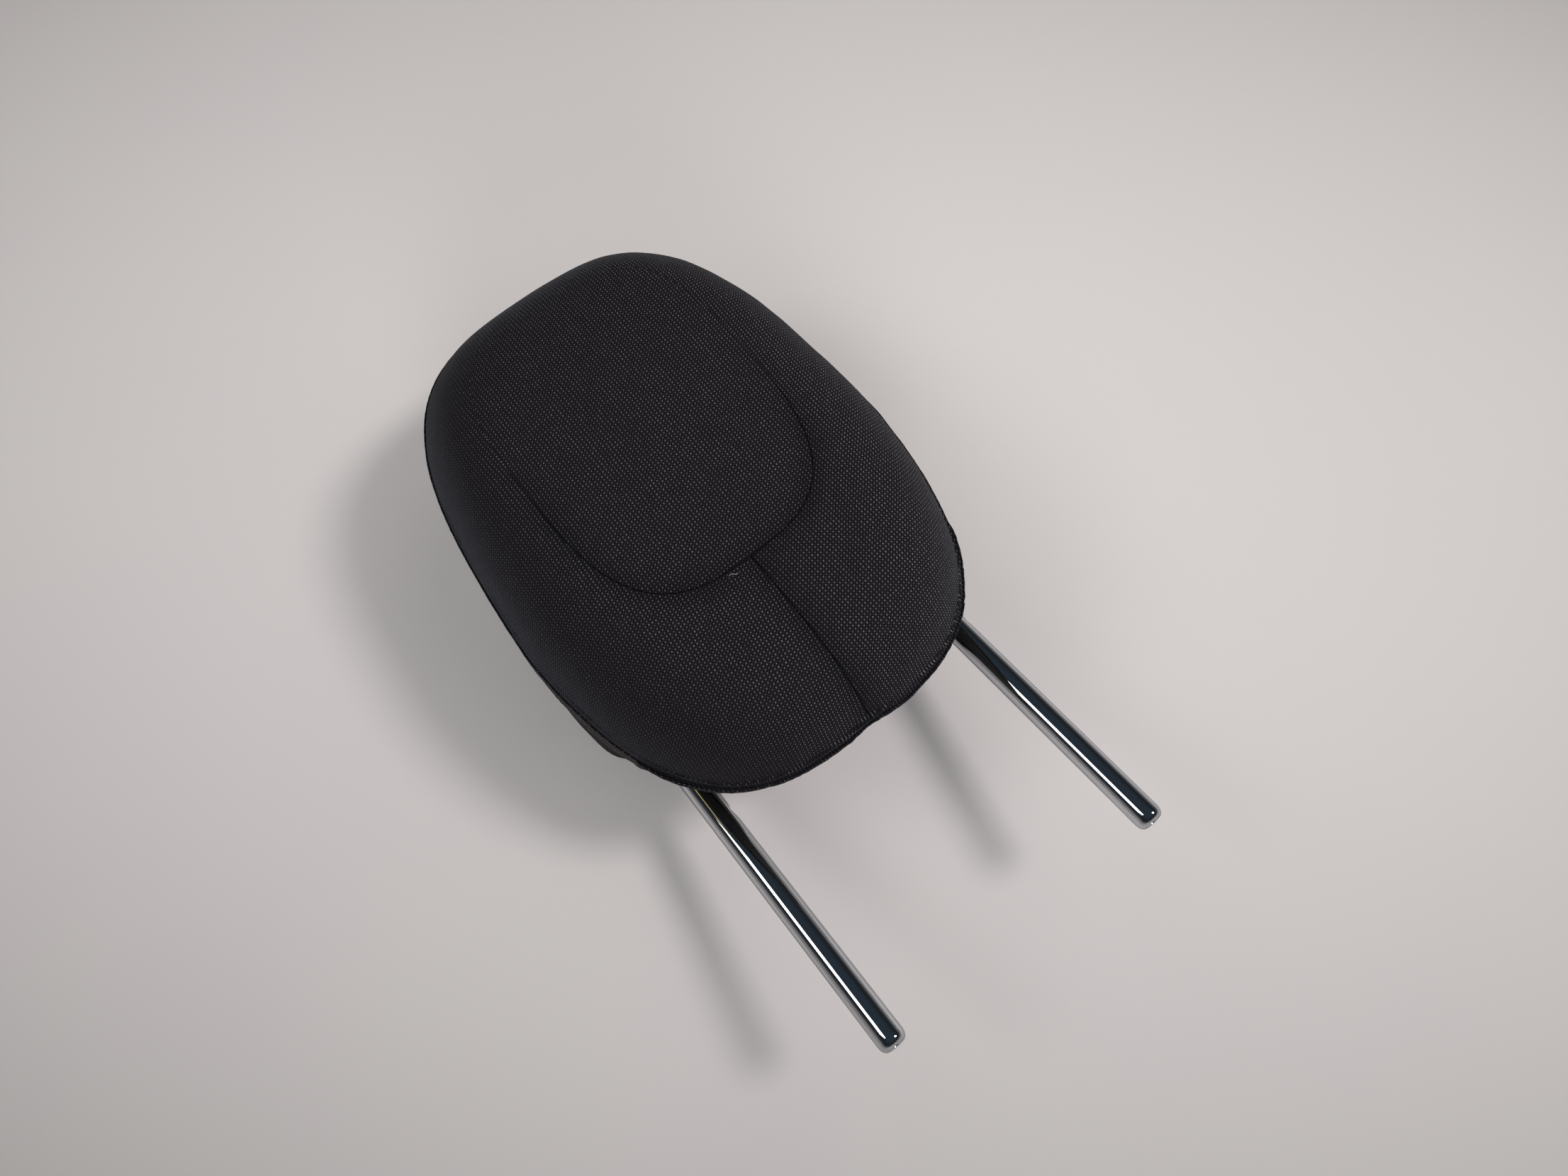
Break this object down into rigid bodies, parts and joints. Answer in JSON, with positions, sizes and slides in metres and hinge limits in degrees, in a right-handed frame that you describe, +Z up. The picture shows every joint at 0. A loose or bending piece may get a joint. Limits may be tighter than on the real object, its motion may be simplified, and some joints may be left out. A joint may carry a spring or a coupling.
{
  "type": "car headrest",
  "caption": "Car headrest with a domed fabric pad, an oval seamed centre, a smooth black back shell and a chromed tube frame whose posts slide into a seat.",
  "frame": {"origin": "on the surface that the headrest lies on, under the middle of its bounding box", "axes": "+X from the left post to the right post, +Y from the post tips to the top of the pad, +Z up, out of the pad's front"},
  "size_m": [0.1964, 0.3676, 0.1215],
  "materials": {
    "fabric_centre": "near-black woven upholstery with a fine grid of light grey flecks",
    "fabric_surround": "near-black woven upholstery with a fine grid of light grey flecks",
    "foam": "open-cell moulded seat foam",
    "tray_plastic": "matte moulded black",
    "clamp_plastic": "matte moulded black",
    "sleeve_plastic": "satin moulded black",
    "gloss_black": "smooth glossy black moulding",
    "chrome": "bright chromed steel tube",
    "zinc": "zinc plated steel"
  },
  "bodies": {
    "root": {"post_frame": "chrome", "armature_tray": "tray_plastic", "leg_clamp_left": "clamp_plastic", "leg_clamp_right": "clamp_plastic", "bar_clamp_left": "clamp_plastic", "bar_clamp_right": "clamp_plastic", "clamp_screw_1": "zinc", "clamp_screw_2": "zinc", "clamp_screw_3": "zinc", "clamp_screw_4": "zinc", "clamp_screw_5": "zinc", "clamp_screw_6": "zinc", "clamp_screw_7": "zinc", "clamp_screw_8": "zinc", "post_sleeve_left": "sleeve_plastic", "post_sleeve_right": "sleeve_plastic", "back_shell": "gloss_black", "shell_clip_1": "zinc", "shell_clip_2": "zinc", "shell_clip_3": "zinc", "shell_clip_4": "zinc", "foam_pad": "foam", "cover_centre_panel": "fabric_centre", "cover_surround_panel": "fabric_surround"}
  },
  "joints": []
}
